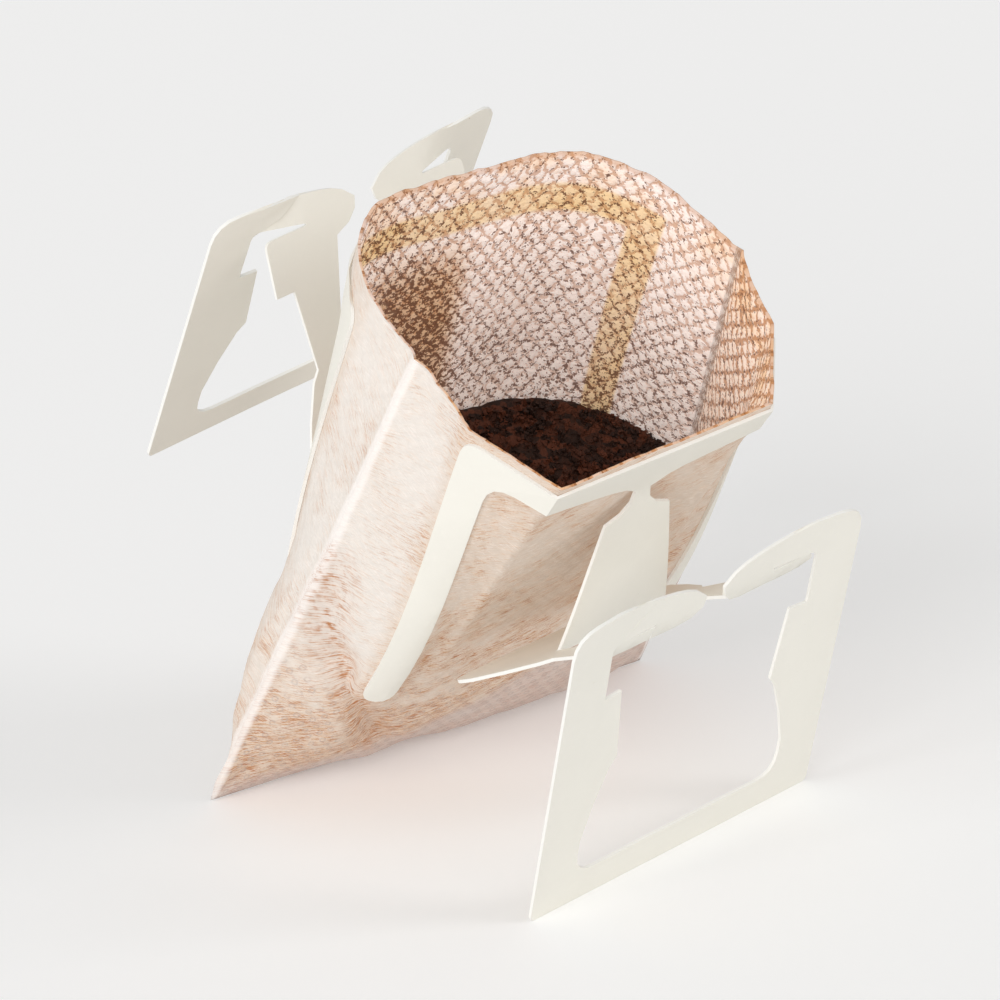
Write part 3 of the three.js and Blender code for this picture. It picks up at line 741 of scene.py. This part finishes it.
class DRIPBAG_OT_pouch(bpy.types.Operator):
    """Builds the filter fabric pouch"""

    bl_idname = "dripbag.pouch"
    bl_label = "Filter Pouch"

    def execute(self, context):
        look = context.scene.drip_pouch
        points, normals, flat = cloth_grid(look.spacing / MM, look.slack / MM)
        rows, columns = points.shape[:2]
        half = look.thickness / MM / 2
        shells = [points + normals * half, points - normals * half]
        shift = bag_shift()
        places = np.concatenate([standing(shell).reshape(-1, 3) for shell in shells]) + shift
        count = rows * columns
        faces = ring_faces(rows, columns, 0, True) + ring_faces(rows, columns, count, False)
        outer_count = len(faces) // 2
        for c in range(columns):
            after = (c + 1) % columns
            faces.append((c, after, after + count, c + count))
        piece = new_piece("filter_cloth", places, faces)
        record = piece.data.attributes.new("flat", "FLOAT_VECTOR", "POINT")
        record.data.foreach_set("vector", np.concatenate([flat, flat]).reshape(-1))
        for polygon in piece.data.polygons[outer_count:]:
            polygon.material_index = 1
        fold_at_bottom(piece, rows, columns)
        dress(piece, "filter_fabric", cloth_outside(look), cloth_inside(look))
        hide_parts("filter_pouch")
        return {"FINISHED"}


def fold_at_bottom(piece, rows, columns):
    """Joins front and back along the bottom fold of each shell."""
    form = bmesh.new()
    form.from_mesh(piece.data)
    form.verts.ensure_lookup_table()
    last = (rows - 1) * columns
    half = columns // 2
    targets = {}
    for shell in (0, rows * columns):
        for c in range(1, half):
            front = form.verts[shell + last + c]
            back = form.verts[shell + last + columns - c]
            above = form.verts[shell + last - columns + c].co + form.verts[shell + last - c].co
            middle = (front.co + back.co) / 2
            down = (middle - above / 2).normalized()
            front.co = middle + down * (FOLD_OUTSIDE if shell == 0 else FOLD_INSIDE)
            targets[back] = front
    bmesh.ops.weld_verts(form, targetmap=targets)
    bmesh.ops.recalc_face_normals(form, faces=form.faces)
    form.to_mesh(piece.data)
    form.free()


def heap_rows(spacing):
    """The coffee's rows of points: its sides inside the cloth, its top and its foot."""
    side_half = POUCH_HALF - COFFEE_SIDE_GAP
    stops = rim_stops(spacing, side_half)
    bottom = 1 - COFFEE_FOOT_GAP / POUCH_HEIGHT
    count = round(COFFEE_WALL / spacing)
    crossings = round(COFFEE_ACROSS / spacing)
    middle = np.cos(stops / side_half * math.pi / 2)
    fill = (COFFEE_DROPS[FRONT] + COFFEE_DROPS[BACK]) / 2
    slope = (COFFEE_DROPS[FRONT] - COFFEE_DROPS[BACK]) / 2
    walls = []
    for side in (FRONT, BACK):
        top = (fill - side * slope * middle) / SEAM_DEPTH
        share = top + (bottom - top) * np.linspace(0.0, 1.0, count)[:, None]
        s = np.repeat(stops[None, :], count, 0)
        points = wall_points(side, s, share)
        normals = grid_normals(points, False) * -side
        lift = np.array([
            [min(crinkle(side, s[r, c], share[r, c] * POUCH_HEIGHT, 0.3), 0.0) for c in range(len(stops))]
            for r in range(count)
        ])
        walls.append(points + side_out(normals, side) * (lift - COFFEE_INSET - 0.15)[..., None])
    return walls, crossings, middle


def side_out(normals, side):
    """Normals turned so that they point out of the pouch."""
    outward = np.sign(normals[..., 1:2] * side)
    outward[outward == 0] = 1
    return normals * outward


def grid_faces(rows, columns, offset):
    """Quads of an open grid."""
    return [
        (offset + r * columns + c, offset + r * columns + c + 1,
         offset + (r + 1) * columns + c + 1, offset + (r + 1) * columns + c)
        for r in range(rows - 1) for c in range(columns - 1)
    ]


def heap_top(walls, crossings, middle):
    """The grid of points across the top of the heap."""
    share = np.linspace(0.0, 1.0, crossings + 1)[:, None, None]
    top = walls[0][0][None] * (1 - share) + walls[1][0][None] * share
    top[..., 2] += COFFEE_MOUND * np.sin(math.pi * share[..., 0]) * middle[None, :]
    return top


def grain_form(random_source, centre, size, form_points, form_faces):
    """Adds one broken grain, a box with its corners knocked about."""
    turn = Euler([random_source.uniform(0, math.tau) for _ in range(3)]).to_matrix()
    start = len(form_points)
    lengths = [size * random_source.uniform(0.55, 1.1) / 2 for _ in range(3)]
    for x in (-1, 1):
        for y in (-1, 1):
            for z in (-1, 1):
                jitter = [random_source.uniform(0.55, 1.1) for _ in range(3)]
                corner = [axis * length * j for axis, length, j in zip((x, y, z), lengths, jitter)]
                form_points.append(centre + turn @ Vector(corner))
    for quad in ((0, 1, 3, 2), (4, 6, 7, 5), (0, 4, 5, 1), (2, 3, 7, 6), (0, 2, 6, 4), (1, 5, 7, 3)):
        form_faces.append(tuple(start + i for i in quad))


class DRIPBAG_OT_coffee(bpy.types.Operator):
    """Builds the heap of ground coffee and its loose grains"""

    bl_idname = "dripbag.coffee"
    bl_label = "Ground Coffee"

    def execute(self, context):
        look = context.scene.drip_coffee
        finish = coffee_finish(look)
        walls, crossings, middle = heap_rows(COFFEE_SPACING)
        shift = bag_shift()
        top = heap_top(walls, crossings, middle)
        share = np.linspace(0.0, 1.0, crossings + 1)[:, None, None]
        foot = walls[0][-1][None] * (1 - share) + walls[1][-1][None] * share
        ends = [np.stack([walls[0][:, c] * (1 - k) + walls[1][:, c] * k
                          for k in np.linspace(0.0, 1.0, crossings + 1)], 1) for c in (0, -1)]
        points, faces = [], []
        for grid in (walls[0], walls[1], top, foot, *ends):
            faces += grid_faces(grid.shape[0], grid.shape[1], sum(len(p) for p in points))
            points.append(standing(grid).reshape(-1, 3) + shift)
        places = np.concatenate(points)
        heap = new_piece("coffee_heap", places, faces)
        merge_points(heap, 2e-6)
        self.roughen(heap, standing(top).reshape(-1, 3) + shift)
        dress(heap, "coffee_grounds", finish)
        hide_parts("ground_coffee")
        self.scatter(look, top, shift, finish)
        return {"FINISHED"}

    def roughen(self, heap, top):
        """Breaks up the top of the heap and turns every face outwards."""
        form = bmesh.new()
        form.from_mesh(heap.data)
        bmesh.ops.recalc_face_normals(form, faces=form.faces)
        level = float(top[:, 2].mean())
        for vert in form.verts:
            if vert.normal.z > 0.5 and abs(vert.co.z - level) < 0.012:
                vert.co.z += (noise.noise(vert.co * 900.0) * 0.35 + noise.noise(vert.co * 220.0) * 0.5) * MM
        form.to_mesh(heap.data)
        form.free()

    def scatter(self, look, top, shift, finish):
        """Strews loose grains over the top of the heap."""
        source = random.Random(COFFEE_SEED)
        rows, columns = top.shape[:2]
        places = standing(top) + shift
        points, faces = [], []
        for _ in range(look.grains):
            r, c = source.uniform(1.0, rows - 2.01), source.uniform(1.0, columns - 2.01)
            i, j = int(r), int(c)
            u, v = r - i, c - j
            low = places[i, j] * (1 - v) + places[i, j + 1] * v
            high = places[i + 1, j] * (1 - v) + places[i + 1, j + 1] * v
            spot = Vector(low * (1 - u) + high * u)
            size = look.small + (look.large - look.small) * source.random() ** 2.0
            spot.z += source.uniform(-0.15, 0.45) * size
            grain_form(source, spot, size, points, faces)
        grains = new_piece("coffee_grains", points, faces, False)
        dress(grains, "coffee_grounds", finish)


class DRIPBAG_OT_cards(bpy.types.Operator):
    """Builds both card hangers"""

    bl_idname = "dripbag.cards"
    bl_label = "Card Hangers"

    def execute(self, context):
        look = context.scene.drip_card
        face = card_finish(look, "card face", tuple(look.face), False)
        edge = card_finish(look, "card cut edge", tuple(look.edge), True)
        for name in ("front", "back"):
            node = name + "_hanger"
            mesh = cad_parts[node].data.copy()
            mesh.name = name + "_card"
            mesh.materials.clear()
            piece = bpy.data.objects.new(name + "_card", mesh)
            context.scene.collection.objects.link(piece)
            merge_points(piece, 2e-6)
            dress(piece, "hanger_card", face, edge)
            mark_edges(mesh)
            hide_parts(node)
        return {"FINISHED"}


def mark_edges(mesh):
    """Gives the narrow cut faces the second material, and keeps folds soft and cuts sharp."""
    form = bmesh.new()
    form.from_mesh(mesh)
    tree = BVHTree.FromBMesh(form)
    for place in form.faces:
        start = place.calc_center_median() - place.normal * 1e-6
        hit = tree.ray_cast(start, -place.normal, 0.01)
        place.material_index = 0 if hit[3] is not None and hit[3] < CARD_LIMIT else 1
        place.smooth = True
    for edge in form.edges:
        edge.smooth = edge.calc_face_angle(0.0) < math.radians(SHARP_TURN)
    form.to_mesh(mesh)
    form.free()


class DRIPBAG_OT_stage(bpy.types.Operator):
    """Builds the floor, the lights and the camera"""

    bl_idname = "dripbag.stage"
    bl_label = "Stage"

    def execute(self, context):
        look = context.scene.drip_stage
        corners = [(x * FLOOR_HALF, y * FLOOR_HALF, 0.0) for x, y in ((-1, -1), (1, -1), (1, 1), (-1, 1))]
        floor = new_piece("floor", corners, [(0, 1, 2, 3)])
        finish = Finish("floor", base_color=tuple(look.floor), roughness=1.0, specular_ior_level=0.0,
                        emission_strength=look.lift)
        seen = finish.node("ShaderNodeLightPath", output="Is Camera Ray")
        paler = finish.blend(seen, (0.0, 0.0, 0.0), (1.0, 1.0, 1.0))
        finish.feed(finish.shader.inputs["Emission Color"], paler)
        floor.data.materials.append(finish.material)
        self.sky(context.scene, look)
        self.sun("key", look.key, KEY_SPREAD, KEY_FROM)
        self.sun("fill", look.fill, FILL_SPREAD, FILL_FROM)
        self.sun("low", look.low, LOW_SPREAD, LOW_FROM)
        self.camera(context.scene, look)
        context.scene.view_settings.view_transform = "Standard"
        return {"FINISHED"}

    def sky(self, scene, look):
        """Even light from everywhere."""
        scene.world = bpy.data.worlds.new("studio")
        scene.world.use_nodes = True
        tree = scene.world.node_tree
        ground = tree.nodes["Background"]
        ground.inputs["Color"].default_value = SKY_COLOUR
        ground.inputs["Strength"].default_value = look.sky

    def sun(self, name, strength, spread, towards):
        """A broad even light that comes from a direction."""
        data = bpy.data.lights.new(name, "SUN")
        data.energy = strength
        data.angle = math.radians(spread)
        lamp = bpy.data.objects.new(name, data)
        lamp.rotation_mode = "QUATERNION"
        lamp.rotation_quaternion = Vector(towards).to_track_quat("Z", "Y")
        bpy.context.scene.collection.objects.link(lamp)

    def camera(self, scene, look):
        """The long lens that looks down at the bag's open mouth from the front left."""
        data = bpy.data.cameras.new("camera")
        data.lens = look.lens
        data.sensor_width = 36.0
        data.clip_start = 0.01
        camera = bpy.data.objects.new("camera", data)
        camera.location = CAMERA_PLACE
        camera.rotation_euler = [math.radians(a) for a in CAMERA_TURN]
        scene.collection.objects.link(camera)
        scene.camera = camera


class DRIPBAG_PT_panel(bpy.types.Panel):
    """Buttons and settings of the drip coffee bag"""

    bl_idname = "DRIPBAG_PT_panel"
    bl_label = "Drip Coffee Bag"
    bl_space_type = "VIEW_3D"
    bl_region_type = "UI"
    bl_category = "Drip Bag"

    def draw(self, context):
        for operator, group in STEPS:
            self.layout.operator(operator.bl_idname)
            settings = getattr(context.scene, group)
            for name in settings.__annotations__:
                self.layout.prop(settings, name)


GROUPS = {
    "drip_pouch": PouchSettings,
    "drip_card": CardSettings,
    "drip_coffee": CoffeeSettings,
    "drip_stage": StageSettings,
}
STEPS = (
    (DRIPBAG_OT_cards, "drip_card"),
    (DRIPBAG_OT_pouch, "drip_pouch"),
    (DRIPBAG_OT_coffee, "drip_coffee"),
    (DRIPBAG_OT_stage, "drip_stage"),
)


def register():
    """Adds the settings, the operators and the panel."""
    for name, group in GROUPS.items():
        bpy.utils.register_class(group)
        setattr(bpy.types.Scene, name, PointerProperty(type=group))
    for operator, _ in STEPS:
        bpy.utils.register_class(operator)
    bpy.utils.register_class(DRIPBAG_PT_panel)


def unregister():
    """Removes what register added."""
    bpy.utils.unregister_class(DRIPBAG_PT_panel)
    for operator, _ in reversed(STEPS):
        bpy.utils.unregister_class(operator)
    for name, group in GROUPS.items():
        delattr(bpy.types.Scene, name)
        bpy.utils.unregister_class(group)


def main():
    """Builds every piece and the stage."""
    register()
    bpy.ops.dripbag.cards()
    bpy.ops.dripbag.pouch()
    bpy.ops.dripbag.coffee()
    bpy.ops.dripbag.stage()


if __name__ == "__main__":
    main()
